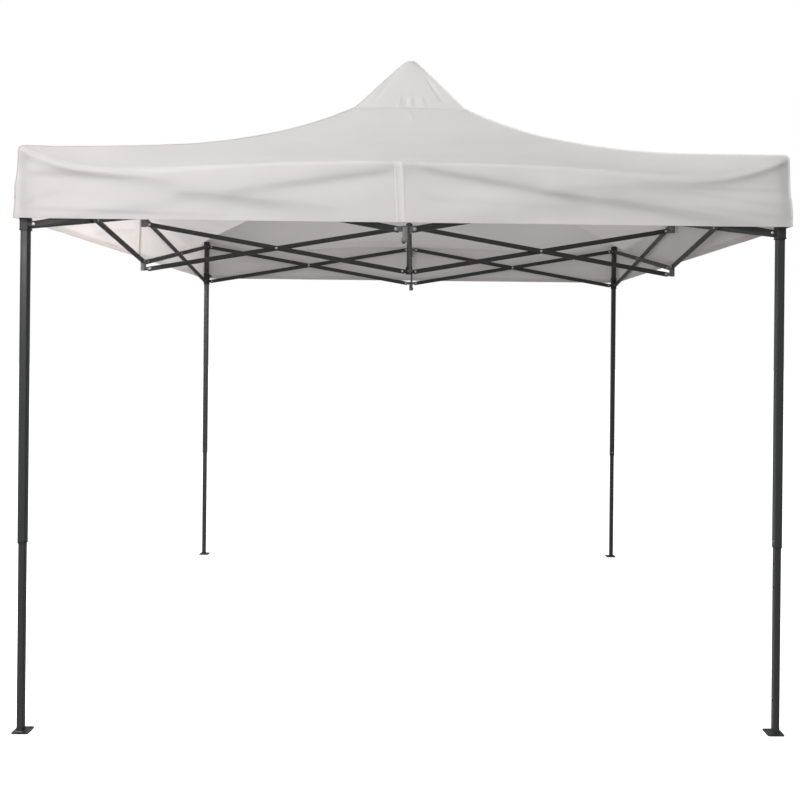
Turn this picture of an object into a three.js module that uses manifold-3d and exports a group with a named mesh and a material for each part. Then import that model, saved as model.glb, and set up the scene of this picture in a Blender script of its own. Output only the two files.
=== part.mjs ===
// Pop up canopy: a folding steel scissor frame on four telescopic legs, under a peaked fabric roof.
// Millimetres. +Z is up, the front is -Y, and the origin is on the ground below the peak.
//
// The frame has four equal sides. Each side is built once, as the front one, and turned about Z.
// A side holds the middle brackets of its eave, the two scissors along the eave, the scissor that
// runs in to the centre hubs, the leg at its left end and one quarter of the fabric.

import * as THREE from 'three';
import { mergeVertices } from 'three/addons/utils/BufferGeometryUtils.js';
import Module from 'manifold-3d';

const wasm = await Module();
wasm.setup();

// ---------------------------------------------------------------- driving dimensions

const HALF_SPAN = 1460; // centre of the canopy to the axis of a leg, along X or Y
const UPPER_PIVOT = 2190; // height of the upper pivots of the eave scissors
const PIVOT_RISE = 240; // upper pivots above the lower ones, when opened
const INNER_DROP = 40; // inner scissors below the eave scissors
const PIVOT_OFFSET = 36; // axis of a leg, bracket or hub to its bar pivots

const BAR_THICKNESS = 12; // scissor bar section, across the scissor
const BAR_HEIGHT = 25;
const BAR_WALL = 0.9;
const BAR_OVERHANG = 10; // bar past its end pivots
const BAR_SPACE = 1.2; // between the two bars of a scissor

const RIVET_RADIUS = 3;
const RIVET_HOLE_RADIUS = 3.9;
const RIVET_HEAD_RADIUS = 5.5;
const RIVET_HEAD = 2; // thickness
const RIVET_SIDES = 6;
const CLEARANCE = 0.4; // between parts that turn or slide on each other

const EAR_THICKNESS = 2.5; // bracket ears, one on each side of a bar's end
const EAR_RADIUS = 9;
const EAR_ROOT = 16; // where the ears leave the bracket's body
const BRACKET_HALF = 18; // half width of a bracket, hub or slider body
const BRACKET_OUTER = 14; // middle bracket, axis to its outer face
const BRACKET_COLLAR = 16; // body above and below a pivot

const OUTER_LEG = 30; // square tube
const OUTER_LEG_BOTTOM = 725;
const LEG_TOP = 2230;
const INNER_LEG = 25; // square tube
const INNER_LEG_TOP = 1150;
const LEG_WALL = 1.2;
const FOOT_SIZE = 66;
const FOOT_SHIFT = 5; // plate centre from the leg's axis, towards the inside
const FOOT_THICKNESS = 4;
const PEG_HOLE_RADIUS = 5;
const PEG_HOLE_REACH = 26; // peg hole from the leg's axis, along X and Y

const SLIDER_BELOW = 24; // sleeve below and above its pivots
const SLIDER_ABOVE = 52;
const LATCH_HEIGHT = 36; // latch above the slider's pivots
const LATCH_SHIFT = 9.5; // latch off the leg's axis
const LATCH_BOSS = 7; // boss length out of the sleeve
const LATCH_PIN_RADIUS = 2.5;
const LATCH_KNOB_RADIUS = 6.2;
const LATCH_KNOB_LENGTH = 11;

const BUTTON_HEIGHT = 750; // leg snap button
const BUTTON_RADIUS = 4;
const BUTTON_PROUD = 4;
const LEG_TRAVEL = 620; // inner leg up into the outer leg, to its second button hole

const CENTRE_TUBE_RADIUS = 12.5;
const CENTRE_TUBE_WALL = 1.2;
const CENTRE_TUBE_LENGTH = 720;
const HUB_SOCKET_DEPTH = 30;
const PEAK_POLE_RADIUS = 10.7;
const PEAK_POLE_WALL = 1;
const PEAK_POLE_LENGTH = 1050;
const CAP_RADIUS = 36;
const CAP_RISE = 22; // dome height
const CAP_BELOW_PEAK = 16; // cap top under the fabric's peak

const FABRIC = 1.2; // thickness, with its coating and seams
const EAVE = 1481; // centre to the outside of the valance, along X or Y
const CORNER_HEIGHT = 2246; // roof at the corners
const EAVE_DIP = 41; // middle of the eave below the corners
const EAVE_SAG = 40; // how far the eave hangs between its middle and a corner
const HEM_HEIGHT = 1972; // bottom of the valance
const HEM_FLARE = 5; // valance outwards at its hem
const PEAK_HEIGHT = 3060;
const HOOD_HALF = 280; // half width of the peak hood at its seam
const HOOD_HEIGHT = 2738; // hood seam at the hips
const PEAK_OPENING = 6;
const HIP_GAP = 0.5; // each quarter of the fabric back from the hip

// ---------------------------------------------------------------- derived dimensions

const LOWER_PIVOT = UPPER_PIVOT - PIVOT_RISE;
const REACH = HALF_SPAN - 2 * PIVOT_OFFSET; // between a bar's end pivots, level
const BAR_LENGTH = Math.hypot(REACH, PIVOT_RISE);
const BAR_TILT = Math.atan2(PIVOT_RISE, REACH);
const BAR_SHIFT = (BAR_THICKNESS + BAR_SPACE) / 2; // bar centre from the scissor's plane
const EAR_SHIFT = (BAR_THICKNESS + EAR_THICKNESS) / 2 + CLEARANCE;
const SLEEVE_BORE = OUTER_LEG / 2 + CLEARANCE;
const QUARTER = Math.PI / 2;

// ---------------------------------------------------------------- materials

function steel() {
  return new THREE.MeshStandardMaterial({ color: 0x2b2d2c, roughness: 0.45, metalness: 0.6 });
}

function brightSteel() {
  return new THREE.MeshStandardMaterial({ color: 0xb9bcbb, roughness: 0.3, metalness: 0.9 });
}

function blackPlastic() {
  return new THREE.MeshStandardMaterial({ color: 0x17181a, roughness: 0.55, metalness: 0 });
}

function whiteFabric() {
  return new THREE.MeshStandardMaterial({ color: 0xe9ebe9, roughness: 0.9, metalness: 0 });
}

// ---------------------------------------------------------------- solids

function toSolid(geometry) {
  const bare = geometry.clone();
  bare.deleteAttribute('normal');
  bare.deleteAttribute('uv');
  const merged = mergeVertices(bare, 1e-4);
  return new wasm.Manifold(new wasm.Mesh({
    numProp: 3,
    vertProperties: merged.attributes.position.array,
    triVerts: Uint32Array.from(merged.index.array),
  }));
}

function toGeometry(solid) {
  const { vertProperties, triVerts } = solid.getMesh();
  const geometry = new THREE.BufferGeometry();
  geometry.setAttribute('position', new THREE.BufferAttribute(vertProperties, 3));
  geometry.setIndex(new THREE.BufferAttribute(triVerts, 1));
  geometry.computeVertexNormals();
  return geometry;
}

function join(parts, cuts = []) {
  let solid = toSolid(parts[0]);
  for (const part of parts.slice(1)) solid = solid.add(toSolid(part));
  for (const cut of cuts) solid = solid.subtract(toSolid(cut));
  return toGeometry(solid);
}

function block([x0, x1], [y0, y1], [z0, z1]) {
  const box = new THREE.BoxGeometry(x1 - x0, y1 - y0, z1 - z0);
  return box.translate((x0 + x1) / 2, (y0 + y1) / 2, (z0 + z1) / 2);
}

function post(half, bottom, top) {
  return block([-half, half], [-half, half], [bottom, top]);
}

// A round rod along Y from y0 to y1, through (x, z).
function rod(radius, y0, y1, x = 0, z = 0, sides = RIVET_SIDES) {
  return new THREE.CylinderGeometry(radius, radius, y1 - y0, sides).translate(x, (y0 + y1) / 2, z);
}

// A solid turned about Z, from [radius, height] points that start and end on the axis or close.
function turned(points, sides) {
  const profile = points.map(([radius, height]) => new THREE.Vector2(radius, height));
  return new THREE.LatheGeometry(profile, sides).rotateX(QUARTER);
}

// ---------------------------------------------------------------- scissor bars

function barTube() {
  const end = BAR_LENGTH / 2 + BAR_OVERHANG;
  const y = BAR_THICKNESS / 2;
  const z = BAR_HEIGHT / 2;
  const section = (inset) => [[-y + inset, y - inset], [-z + inset, z - inset]];
  const holes = [-1, 1].map((side) => rod(RIVET_HOLE_RADIUS, -y - 1, y + 1, (side * BAR_LENGTH) / 2));
  return join([block([-end, end], ...section(0))], [block([-end - 1, end + 1], ...section(BAR_WALL)), ...holes]);
}

function plainBar() {
  const y = BAR_THICKNESS / 2 + 1;
  return join([barTube()], [rod(RIVET_HOLE_RADIUS, -y, y)]);
}

// The rivet is closed on this bar, and passes through the other one, on its +Y side.
function rivetedBar() {
  const near = -BAR_THICKNESS / 2;
  const far = BAR_THICKNESS * 1.5 + BAR_SPACE + CLEARANCE;
  return join([
    barTube(),
    rod(RIVET_RADIUS, near + BAR_WALL / 2, far + RIVET_HEAD / 2),
    rod(RIVET_HEAD_RADIUS, far, far + RIVET_HEAD),
  ]);
}

const RIVETED_BAR = rivetedBar();
const PLAIN_BAR = plainBar();

// One scissor of two bars. It leaves the start point along yaw. The falling bar runs from the
// upper pivot at the start to the lower pivot at the end, and lies on the side -flip.
function scissor(names, start, yaw, flip) {
  const group = new THREE.Group();
  group.position.copy(start);
  group.rotation.z = yaw;
  const falling = new THREE.Mesh(RIVETED_BAR, steel());
  falling.position.set(REACH / 2, -flip * BAR_SHIFT, -PIVOT_RISE / 2);
  falling.rotation.set(0, BAR_TILT, flip > 0 ? 0 : Math.PI);
  const rising = new THREE.Mesh(PLAIN_BAR, steel());
  rising.position.set(REACH / 2, flip * BAR_SHIFT, -PIVOT_RISE / 2);
  rising.rotation.y = -BAR_TILT;
  [falling.name, rising.name] = names;
  group.add(falling, rising);
  return group;
}

// ---------------------------------------------------------------- brackets and hubs

// Two ears and the rivet through them, which hold a bar's end. The bar leaves along yaw, and its
// centre is shifted to its left.
function clevis(yaw, shift, height = 0) {
  const outline = new THREE.Shape();
  outline.moveTo(EAR_ROOT, -EAR_RADIUS);
  outline.lineTo(PIVOT_OFFSET, -EAR_RADIUS);
  outline.absarc(PIVOT_OFFSET, 0, EAR_RADIUS, -QUARTER, QUARTER);
  outline.lineTo(EAR_ROOT, EAR_RADIUS);
  const settings = { depth: EAR_THICKNESS, curveSegments: 3, bevelEnabled: false };
  const ears = [-1, 1].map((side) => new THREE.ExtrudeGeometry(outline, settings)
    .rotateX(QUARTER)
    .translate(0, shift + side * EAR_SHIFT + EAR_THICKNESS / 2, 0));
  const rivet = rod(RIVET_RADIUS, shift - EAR_SHIFT, shift + EAR_SHIFT, PIVOT_OFFSET);
  return [...ears, rivet].map((part) => part.translate(0, 0, height).rotateZ(yaw));
}

// Bars on both sides of the eave and one to the centre. The inner bar is INNER_DROP lower.
function middleBracket(outwards) {
  const body = block(
    [-BRACKET_HALF, BRACKET_HALF],
    [-BRACKET_OUTER, BRACKET_HALF],
    [-INNER_DROP - BRACKET_COLLAR, BRACKET_COLLAR - 4],
  );
  return join([
    body,
    ...clevis(0, -outwards * BAR_SHIFT),
    ...clevis(2 * QUARTER, outwards * BAR_SHIFT),
    ...clevis(QUARTER, -outwards * BAR_SHIFT, -INNER_DROP),
  ]);
}

function hubClevises(shift) {
  return [0, 1, 2, 3].flatMap((quarter) => clevis(quarter * QUARTER, shift));
}

function bore(radius, bottom, top, sides = 16) {
  return new THREE.CylinderGeometry(radius, radius, top - bottom, sides)
    .rotateX(QUARTER)
    .translate(0, 0, (bottom + top) / 2);
}

function upperHub() {
  const hole = bore(CENTRE_TUBE_RADIUS + 2.5 * CLEARANCE, -2 * BRACKET_COLLAR, 2 * BRACKET_COLLAR);
  return join([post(BRACKET_HALF, -BRACKET_COLLAR, BRACKET_COLLAR), ...hubClevises(-BAR_SHIFT)], [hole]);
}

function lowerHub() {
  const top = BRACKET_COLLAR + 4;
  const socket = bore(CENTRE_TUBE_RADIUS + CLEARANCE, top - HUB_SOCKET_DEPTH, top + 1);
  return join([post(BRACKET_HALF, -BRACKET_COLLAR, top), ...hubClevises(BAR_SHIFT)], [socket]);
}

function centreTube() {
  const inner = CENTRE_TUBE_RADIUS - CENTRE_TUBE_WALL;
  return turned([
    [CENTRE_TUBE_RADIUS, 0],
    [CENTRE_TUBE_RADIUS, CENTRE_TUBE_LENGTH],
    [inner, CENTRE_TUBE_LENGTH],
    [inner, 0],
    [CENTRE_TUBE_RADIUS, 0],
  ], 12);
}

// A tube with a mushroom cap on top. Its origin is the top of the cap.
function peakPole() {
  const inner = PEAK_POLE_RADIUS - PEAK_POLE_WALL;
  const dome = [0, 1, 2, 3].map((step) => {
    const angle = (step / 3) * QUARTER;
    return [CAP_RADIUS * Math.sin(angle), CAP_RISE * (Math.cos(angle) - 1)];
  });
  return turned([
    [0, -CAP_RISE - 6],
    [inner, -CAP_RISE - 6],
    [inner, -PEAK_POLE_LENGTH],
    [PEAK_POLE_RADIUS, -PEAK_POLE_LENGTH],
    [PEAK_POLE_RADIUS, -CAP_RISE - 14],
    [CAP_RADIUS - 4, -CAP_RISE - 5],
    ...dome.reverse(),
  ], 12);
}

// ---------------------------------------------------------------- legs

// The eave bars leave a corner along +X and +Y, shifted outwards or inwards off the leg's axis.
function cornerClevises(outwards) {
  return [...clevis(0, -outwards * BAR_SHIFT), ...clevis(QUARTER, outwards * BAR_SHIFT)];
}

// The tube with the corner bracket on its top. Its origin is at the height of the upper pivots.
function outerLeg() {
  const bottom = OUTER_LEG_BOTTOM - UPPER_PIVOT;
  const top = LEG_TOP - UPPER_PIVOT;
  const hollow = post(OUTER_LEG / 2 - LEG_WALL, bottom - 1, top - 4);
  const buttonHole = rod(BUTTON_RADIUS + CLEARANCE, 5, OUTER_LEG, 0, BUTTON_HEIGHT - UPPER_PIVOT, 10);
  return join([
    post(OUTER_LEG / 2, bottom, top - 2),
    post(BRACKET_HALF, -BRACKET_COLLAR, top),
    ...cornerClevises(-1),
  ], [hollow, buttonHole]);
}

function innerLeg() {
  const half = FOOT_SIZE / 2;
  const foot = [FOOT_SHIFT - half, FOOT_SHIFT + half];
  const inside = INNER_LEG / 2 - LEG_WALL;
  const holeHeights = [BUTTON_HEIGHT, BUTTON_HEIGHT - LEG_TRAVEL];
  return join([
    block(foot, foot, [0, FOOT_THICKNESS]),
    post(INNER_LEG / 2, 1, INNER_LEG_TOP),
  ], [
    post(inside, FOOT_THICKNESS, INNER_LEG_TOP + 1),
    bore(PEG_HOLE_RADIUS, -1, FOOT_THICKNESS + 1, 10).translate(PEG_HOLE_REACH, PEG_HOLE_REACH, 0),
    ...holeHeights.map((height) => rod(BUTTON_RADIUS + 2 * CLEARANCE, 5, INNER_LEG, 0, height, 10)),
  ]);
}

// A sleeve around the outer leg with the boss of the latch. Its origin is at the lower pivots.
function slider() {
  const face = BRACKET_HALF + LATCH_BOSS;
  return join([
    post(BRACKET_HALF, -SLIDER_BELOW, SLIDER_ABOVE),
    rod(LATCH_KNOB_RADIUS, BRACKET_HALF - 1, face, LATCH_SHIFT, LATCH_HEIGHT, 10),
    ...cornerClevises(1),
  ], [
    post(SLEEVE_BORE, -SLIDER_BELOW - 1, SLIDER_ABOVE + 1),
    rod(LATCH_PIN_RADIUS + CLEARANCE, 5, face + 1, LATCH_SHIFT, LATCH_HEIGHT, 8),
  ]);
}

// The latch's pin and pull knob, in the slider's place.
function latch() {
  const knob = BRACKET_HALF + LATCH_BOSS + CLEARANCE;
  return join([
    rod(LATCH_PIN_RADIUS, OUTER_LEG / 2 + CLEARANCE, knob + 1, LATCH_SHIFT, LATCH_HEIGHT, 8),
    rod(LATCH_KNOB_RADIUS, knob, knob + LATCH_KNOB_LENGTH, LATCH_SHIFT, LATCH_HEIGHT, 10),
  ]);
}

function snapButton() {
  return rod(BUTTON_RADIUS, INNER_LEG / 2 + CLEARANCE, OUTER_LEG / 2 + BUTTON_PROUD, 0, BUTTON_HEIGHT, 10);
}

// ---------------------------------------------------------------- fabric

// 0 at the middle and the corners of a side, and 1 where the eave hangs lowest between them.
function sagShape(s) {
  return Math.max(Math.sin(Math.PI * Math.abs(s) ** 2.4), 0) ** 1.2;
}

// Height of the roof at a level distance r from the centre, and s from -1 to 1 between the hips.
function roofHeight(r, s) {
  const rise = 1 - r / EAVE;
  const seam = 1 - HOOD_HALF / EAVE;
  if (rise > seam) {
    const climb = (rise - seam) / (1 - seam);
    return HOOD_HEIGHT + (PEAK_HEIGHT - HOOD_HEIGHT) * (1.12 * climb - 0.12 * climb ** 6);
  }
  const u = rise / seam;
  const hip = CORNER_HEIGHT + (HOOD_HEIGHT - CORNER_HEIGHT) * (0.55 * u + 0.45 * u ** 3);
  const dip = EAVE_DIP * (1 - u) * (1 - Math.abs(s) ** (9 - 7 * u));
  return hip - dip - EAVE_SAG * (1 - u) ** 4 * sagShape(s);
}

// Stations from the peak down to the hem: [outer r, outer height, inner r, inner height] at s.
function fabricStation(row, s) {
  if (row.r < EAVE) {
    const z = roofHeight(row.r, s);
    return [row.r, z, row.r, z - FABRIC];
  }
  const top = roofHeight(EAVE, s);
  const z = top + (HEM_HEIGHT - top) * row.drop;
  const r = EAVE + HEM_FLARE * row.drop;
  return [r, z, r - FABRIC, row.drop > 0 ? z : z - FABRIC];
}

// The front quarter of the roof with its valance, one closed thin sheet.
function fabricQuarter() {
  const roofRadii = [PEAK_OPENING, 45, 120, 200, HOOD_HALF, 480, 720, 960, 1220];
  const rows = roofRadii.map((r) => ({ r }));
  for (const drop of [0, 0.5, 1]) rows.push({ r: EAVE, drop });
  const columns = 10;
  const points = [];
  for (const row of rows) {
    for (let column = 0; column <= columns; column += 1) {
      const s = (2 * column) / columns - 1;
      const [outerR, outerZ, innerR, innerZ] = fabricStation(row, s);
      points.push(s * (outerR - HIP_GAP), -outerR, outerZ, s * (innerR - HIP_GAP), -innerR, innerZ);
    }
  }
  const faces = [];
  const at = (row, column, layer) => 2 * (row * (columns + 1) + column) + layer;
  const quad = (a, b, c, d) => faces.push(a, b, c, a, c, d);
  const last = rows.length - 1;
  for (let i = 0; i < last; i += 1) {
    for (let j = 0; j < columns; j += 1) {
      quad(at(i, j, 0), at(i + 1, j, 0), at(i + 1, j + 1, 0), at(i, j + 1, 0));
      quad(at(i, j, 1), at(i, j + 1, 1), at(i + 1, j + 1, 1), at(i + 1, j, 1));
    }
    quad(at(i, 0, 0), at(i, 0, 1), at(i + 1, 0, 1), at(i + 1, 0, 0));
    quad(at(i, columns, 0), at(i + 1, columns, 0), at(i + 1, columns, 1), at(i, columns, 1));
  }
  for (let j = 0; j < columns; j += 1) {
    quad(at(0, j, 0), at(0, j + 1, 0), at(0, j + 1, 1), at(0, j, 1));
    quad(at(last, j, 0), at(last, j, 1), at(last, j + 1, 1), at(last, j + 1, 0));
  }
  const geometry = new THREE.BufferGeometry();
  geometry.setAttribute('position', new THREE.Float32BufferAttribute(points, 3));
  geometry.setIndex(faces);
  geometry.computeVertexNormals();
  return geometry;
}

// ---------------------------------------------------------------- assembly

const SHAPES = {
  middleUpper: middleBracket(1),
  middleLower: middleBracket(-1),
  outerLeg: outerLeg(),
  innerLeg: innerLeg(),
  slider: slider(),
  latch: latch(),
  button: snapButton(),
  fabric: fabricQuarter(),
};

function piece(name, geometry, material, x = 0, y = 0, z = 0) {
  const mesh = new THREE.Mesh(geometry, material);
  mesh.name = name;
  mesh.position.set(x, y, z);
  return mesh;
}

function corner(name) {
  const group = new THREE.Group();
  group.position.set(-HALF_SPAN, -HALF_SPAN, 0);
  group.add(
    piece(`outer_leg_${name}`, SHAPES.outerLeg, steel(), 0, 0, UPPER_PIVOT),
    piece(`inner_leg_${name}`, SHAPES.innerLeg, steel()),
    piece(`slider_${name}`, SHAPES.slider, blackPlastic(), 0, 0, LOWER_PIVOT),
    piece(`slider_latch_${name}`, SHAPES.latch, blackPlastic(), 0, 0, LOWER_PIVOT),
    piece(`leg_button_${name}`, SHAPES.button, brightSteel()),
  );
  return group;
}

// A side seen from outside: the leg at its left end is its own, the one at its right the next one's.
function side(name, leftCorner, rightCorner, quarter) {
  const group = new THREE.Group();
  group.rotation.z = quarter * QUARTER;
  const bars = (part) => [`${part}_falling`, `${part}_rising`];
  const pivot = (x, y, drop) => new THREE.Vector3(x, y, UPPER_PIVOT - drop);
  group.add(
    piece(`middle_bracket_upper_${name}`, SHAPES.middleUpper, blackPlastic(), 0, -HALF_SPAN, UPPER_PIVOT),
    piece(`middle_bracket_lower_${name}`, SHAPES.middleLower, blackPlastic(), 0, -HALF_SPAN, LOWER_PIVOT),
    scissor(bars(`eave_bar_${name}_${leftCorner}`), pivot(-PIVOT_OFFSET, -HALF_SPAN, 0), 2 * QUARTER, -1),
    scissor(bars(`eave_bar_${name}_${rightCorner}`), pivot(PIVOT_OFFSET, -HALF_SPAN, 0), 0, 1),
    scissor(bars(`inner_bar_${name}`), pivot(0, -PIVOT_OFFSET, INNER_DROP), -QUARTER, 1),
    corner(leftCorner),
    piece(`canopy_${name}`, SHAPES.fabric, whiteFabric()),
  );
  return group;
}

const upperHubHeight = UPPER_PIVOT - INNER_DROP;
const lowerHubHeight = LOWER_PIVOT - INNER_DROP;
const tubeBottom = lowerHubHeight + BRACKET_COLLAR + 4 - HUB_SOCKET_DEPTH + CLEARANCE;

const canopy = new THREE.Group();
canopy.add(
  piece('upper_hub', upperHub(), blackPlastic(), 0, 0, upperHubHeight),
  piece('lower_hub', lowerHub(), blackPlastic(), 0, 0, lowerHubHeight),
  piece('centre_tube', centreTube(), steel(), 0, 0, tubeBottom),
  piece('peak_pole', peakPole(), steel(), 0, 0, PEAK_HEIGHT - CAP_BELOW_PEAK),
  side('front', 'front_left', 'front_right', 0),
  side('right', 'front_right', 'back_right', 1),
  side('back', 'back_right', 'back_left', 2),
  side('left', 'back_left', 'front_left', 3),
);

export default canopy;
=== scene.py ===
"""Pop up canopy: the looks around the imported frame.

Metres, +Z up, the front at -Y. The four sides are copies of the front one, turned about Z.
Frame pieces are built once each and placed; the fabric follows one height formula for its roof,
its peak hood and its valances, with the folds of each side laid over it.
"""

import math
import random

import bmesh
import bpy
import numpy as np
from mathutils import Matrix, Vector, noise
from mathutils.geometry import tessellate_polygon


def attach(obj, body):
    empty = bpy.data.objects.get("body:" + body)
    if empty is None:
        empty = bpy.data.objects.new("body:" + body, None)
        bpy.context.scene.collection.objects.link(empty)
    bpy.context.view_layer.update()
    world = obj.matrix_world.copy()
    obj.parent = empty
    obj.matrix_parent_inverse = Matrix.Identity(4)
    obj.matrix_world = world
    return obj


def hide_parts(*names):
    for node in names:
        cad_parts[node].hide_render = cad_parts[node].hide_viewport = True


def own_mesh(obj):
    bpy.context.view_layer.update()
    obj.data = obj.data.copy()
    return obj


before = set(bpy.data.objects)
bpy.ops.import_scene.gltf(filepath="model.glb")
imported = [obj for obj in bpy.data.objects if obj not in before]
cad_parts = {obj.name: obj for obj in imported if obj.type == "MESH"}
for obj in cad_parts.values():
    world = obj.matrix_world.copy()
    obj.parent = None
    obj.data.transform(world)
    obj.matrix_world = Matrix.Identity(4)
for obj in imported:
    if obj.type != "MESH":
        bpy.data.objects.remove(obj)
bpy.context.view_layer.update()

# ---------------------------------------------------------------- sizes

HALF_SPAN = 1.460  # centre to a leg's axis
UPPER_PIVOT = 2.190
LOWER_PIVOT = 1.950
INNER_DROP = 0.040  # inner scissors below the eave ones
PIVOT_OFFSET = 0.036
REACH = HALF_SPAN - 2 * PIVOT_OFFSET
PIVOT_RISE = UPPER_PIVOT - LOWER_PIVOT
BAR_TILT = math.degrees(math.atan2(PIVOT_RISE, REACH))
BAR_OVERHANG = 0.010
BAR_HALF = math.hypot(REACH, PIVOT_RISE) / 2 + BAR_OVERHANG
BAR_THICK, BAR_HIGH, BAR_WALL = 0.012, 0.025, 0.0009
BAR_SHIFT = 0.0066  # bar centre from the scissor's plane
BAR_GAP = 2 * BAR_SHIFT - BAR_THICK
EAR, EAR_RADIUS, EAR_SHIFT = 0.0025, 0.009, 0.00765
EAR_ROOT = 0.014
BRACKET = 0.036  # width of brackets, hubs and sliders
COLLAR = 0.016

LEG, INNER_LEG, LEG_WALL = 0.030, 0.025, 0.0012
LEG_BOTTOM, LEG_TOP, INNER_LEG_TOP = 0.725, 2.230, 1.150
FOOT, FOOT_SHIFT, FOOT_THICK = 0.066, 0.005, 0.004
PEG_HOLE, PEG_REACH = 0.005, 0.026
SLIDER_BELOW, SLIDER_ABOVE, SLIDER_BORE = 0.024, 0.052, 0.0308
LATCH_RISE, LATCH_SHIFT, LATCH_FACE = 0.036, 0.0095, 0.025
BUTTON_Z, BUTTON_RADIUS, LEG_TRAVEL = 0.750, 0.004, 0.620

TUBE_RADIUS, TUBE_WALL, TUBE_LENGTH = 0.0125, 0.0012, 0.720
POLE_RADIUS, POLE_WALL, POLE_LENGTH = 0.0107, 0.0010, 1.050
TUBE_BOTTOM = LOWER_PIVOT - INNER_DROP - 0.0096
CAP_TOP, CAP_RADIUS, CAP_RISE = 3.044, 0.036, 0.022

EAVE = 1.481
CORNER_Z, EAVE_DIP, EAVE_SAG, HEM_Z, HEM_FLARE = 2.246, 0.041, 0.040, 1.972, 0.005
PEAK_Z, HOOD_HALF, HOOD_Z = 3.076, 0.280, 2.738
EAVE_ROUND, SAG_ROUND = 0.014, 0.018  # rounding of the eave, and what the sagging stretches add
CORNER_FLARE = 0.004  # the valance's corners stand out at the hem
HEM_DEPTH = 0.024

SIDES = (
    ("front", "front_left", "front_right"),
    ("right", "front_right", "back_right"),
    ("back", "back_right", "back_left"),
    ("left", "back_left", "front_left"),
)


def turn(degrees, axis="Z"):
    return Matrix.Rotation(math.radians(degrees), 4, axis)


def at(x, y, z):
    return Matrix.Translation((x, y, z))


# ---------------------------------------------------------------- materials


class Paint:
    """A procedural material: one Principled shader and the nodes that vary it."""

    def __init__(self, name, color, roughness, metallic=0.0):
        self.material = bpy.data.materials.new(name)
        self.material.use_nodes = True
        tree = self.material.node_tree
        self.nodes, self.links = tree.nodes, tree.links
        self.shader = self.nodes["Principled BSDF"]
        self.output = self.nodes["Material Output"]
        self.set("Base Color", (*color, 1.0))
        self.set("Roughness", roughness)
        self.set("Metallic", metallic)
        self.coords = self.nodes.new("ShaderNodeTexCoord")

    def set(self, socket, value):
        self.shader.inputs[socket].default_value = value

    def node(self, kind, *inputs, **settings):
        node = self.nodes.new(kind)
        for key, value in settings.items():
            setattr(node, key, value)
        for index, value in enumerate(inputs):
            self.feed(node.inputs[index], value)
        return node

    def feed(self, socket, value):
        if value is None:
            return
        if isinstance(value, bpy.types.NodeSocket):
            self.links.new(value, socket)
        else:
            socket.default_value = value

    def math(self, operation, a, b=None):
        return self.node("ShaderNodeMath", a, b, operation=operation).outputs[0]

    def stretched(self, scale):
        """Object coordinates stretched by scale along x, y and z."""
        mapping = self.node("ShaderNodeMapping", self.coords.outputs["Object"])
        mapping.inputs["Scale"].default_value = scale
        return mapping.outputs[0]

    def noise(self, scale, detail=3.0, where=None):
        texture = self.node("ShaderNodeTexNoise", where or self.coords.outputs["Object"])
        texture.inputs["Scale"].default_value = scale
        texture.inputs["Detail"].default_value = detail
        return texture.outputs["Fac"]

    def color(self, factor, *stops):
        """Base colour from a ramp through (position, colour) stops."""
        node = self.nodes.new("ShaderNodeValToRGB")
        self.links.new(factor, node.inputs["Fac"])
        elements = node.color_ramp.elements
        while len(elements) < len(stops):
            elements.new(0.5)
        for element, (position, color) in zip(elements, stops):
            element.position = position
            element.color = (*color, 1.0)
        self.link(node.outputs["Color"], "Base Color")

    def roughness(self, factor, low, high):
        """Roughness from low to high where factor goes from 0.3 to 0.7."""
        node = self.node("ShaderNodeMapRange", factor, 0.3, 0.7, low, high)
        self.link(node.outputs["Result"], "Roughness")

    def link(self, output, socket):
        self.links.new(output, self.shader.inputs[socket])

    def times(self, a, b):
        return self.math("MULTIPLY", a, b)

    def bump(self, height, strength, distance):
        node = self.nodes.new("ShaderNodeBump")
        node.inputs["Strength"].default_value = strength
        node.inputs["Distance"].default_value = distance
        self.links.new(height, node.inputs["Height"])
        self.links.new(node.outputs["Normal"], self.shader.inputs["Normal"])
        return node.outputs["Normal"]

    def let_through(self, color, share, normal):
        """Let that share of the light pass through the cloth in that colour."""
        glow = self.node("ShaderNodeBsdfTranslucent", (*color, 1.0), normal)
        mix = self.node("ShaderNodeMixShader", share, self.shader.outputs[0], glow.outputs[0])
        self.links.new(mix.outputs[0], self.output.inputs["Surface"])


def powder_coat(name, dark, light, streak, gloss):
    """Satin powder coat, scuffed along streak, with its lowest and highest roughness in gloss."""
    paint = Paint(name, dark, 0.42)
    paint.set("Specular IOR Level", 0.45)
    scuffs = paint.noise(6.0, 6.0, paint.stretched(streak))
    paint.color(scuffs, (0.35, dark), (0.62, dark), (0.80, light))
    paint.roughness(paint.noise(14.0), *gloss)
    paint.bump(paint.noise(700.0, 2.0), 0.25, 0.0003)
    return paint.material


def nylon(name, dark, light):
    paint = Paint(name, dark, 0.5)
    mottle = paint.noise(60.0, 4.0)
    paint.color(mottle, (0.3, dark), (0.75, light))
    paint.roughness(mottle, 0.42, 0.60)
    paint.bump(paint.noise(1500.0, 2.0), 0.3, 0.0002)
    return paint.material


def zinc():
    paint = Paint("zinc_plate", (0.62, 0.63, 0.64), 0.32, 1.0)
    spangle = paint.noise(300.0, 3.0)
    paint.color(spangle, (0.3, (0.50, 0.51, 0.53)), (0.7, (0.72, 0.72, 0.71)))
    paint.roughness(spangle, 0.26, 0.42)
    return paint.material


def weave(paint, thread):
    """Height of a plain weave with that thread spacing, on UV in metres."""
    split = paint.node("ShaderNodeSeparateXYZ", paint.coords.outputs["UV"])
    waves = [paint.math("SINE", paint.times(axis, 2 * math.pi / thread)) for axis in split.outputs[:2]]
    return paint.times(*waves)


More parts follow.
